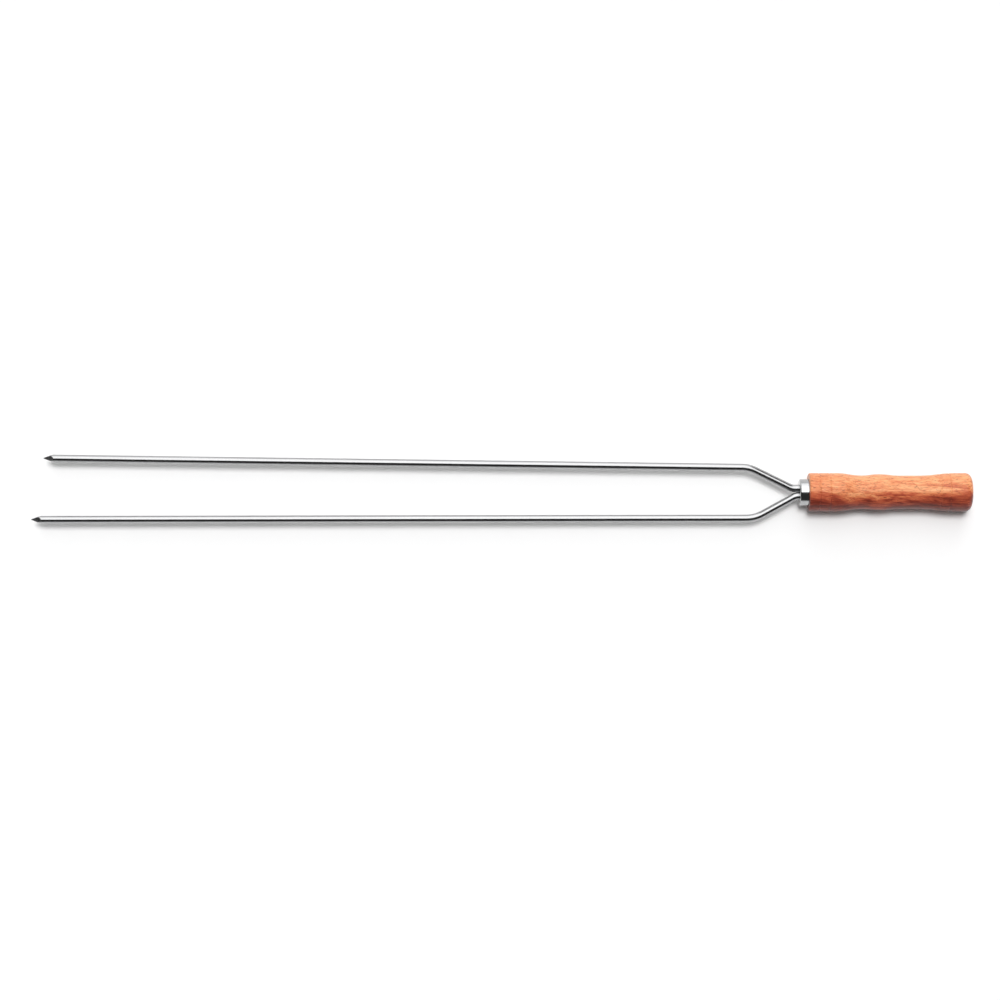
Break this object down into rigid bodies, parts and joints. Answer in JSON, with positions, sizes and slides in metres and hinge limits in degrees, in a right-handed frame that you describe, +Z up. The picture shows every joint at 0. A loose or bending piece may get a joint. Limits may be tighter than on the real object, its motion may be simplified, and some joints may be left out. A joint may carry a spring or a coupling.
{
  "type": "barbecue fork",
  "caption": "Long barbecue fork with side-by-side round steel prongs that spring from a steel ferrule on a turned wooden handle.",
  "frame": {"origin": "centre of the flat butt end of the handle, on the handle's axis", "axes": "+X runs along the handle's axis and out of the butt, so the points lie towards -X; +Z is up, square to the plane that holds both prongs; +Y is the side of the right prong, as the cook's hand has it"},
  "size_m": [0.75, 0.0549, 0.0306],
  "materials": {
    "varnished_wood": "turned reddish hardwood under clear gloss varnish",
    "ferrule_steel": "drawn and bright polished",
    "bar_steel": "bright drawn stainless bar, polished, points ground",
    "weld_steel": "as welded",
    "tang_filler": "set two-part resin"
  },
  "bodies": {
    "root": {"handle": "varnished_wood", "ferrule": "ferrule_steel", "left_prong": "bar_steel", "right_prong": "bar_steel", "tang_welds": "weld_steel", "tang_resin": "tang_filler"}
  },
  "joints": []
}
